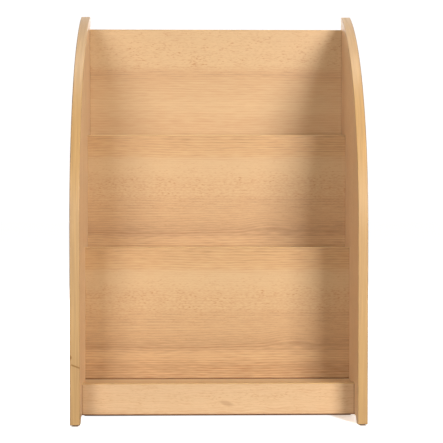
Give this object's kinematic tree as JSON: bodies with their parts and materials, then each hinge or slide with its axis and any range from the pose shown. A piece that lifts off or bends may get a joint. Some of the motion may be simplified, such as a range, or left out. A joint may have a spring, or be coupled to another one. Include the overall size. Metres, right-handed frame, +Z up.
{
  "type": "tiered book display unit",
  "caption": "Free-standing tiered display unit in wood-faced board: curved side panels, a back board, two stepped backrests over ledges, and a recessed plinth.",
  "frame": {"origin": "on the floor, midway between the side panels and midway from front to rear", "axes": "+X to the right seen from the front, +Y to the rear, +Z up"},
  "size_m": [0.535, 0.3, 0.766],
  "materials": {
    "beech_laminate": "satin beech-grain melamine face",
    "beech_edging": "satin beech-coloured plastic edge band",
    "beech_dowel": "bare beech",
    "glide_plastic": "dark brown plastic"
  },
  "bodies": {
    "root": {"left_side_panel": "beech_laminate", "left_front_edging": "beech_edging", "left_rear_edging": "beech_edging", "right_side_panel": "beech_laminate", "right_front_edging": "beech_edging", "right_rear_edging": "beech_edging", "plinth": "beech_laminate", "plinth_edging": "beech_edging", "plinth_dowels": "beech_dowel", "base_shelf": "beech_laminate", "base_shelf_biscuits": "beech_dowel", "lower_backrest": "beech_laminate", "lower_backrest_edging": "beech_edging", "lower_backrest_biscuits": "beech_dowel", "middle_ledge": "beech_laminate", "middle_ledge_biscuits": "beech_dowel", "middle_backrest": "beech_laminate", "middle_backrest_edging": "beech_edging", "middle_backrest_biscuits": "beech_dowel", "top_ledge": "beech_laminate", "top_ledge_dowels": "beech_dowel", "back_board": "beech_laminate", "back_board_edging": "beech_edging", "back_board_biscuits": "beech_dowel", "front_left_glide": "glide_plastic", "rear_left_glide": "glide_plastic", "front_right_glide": "glide_plastic", "rear_right_glide": "glide_plastic"}
  },
  "joints": []
}
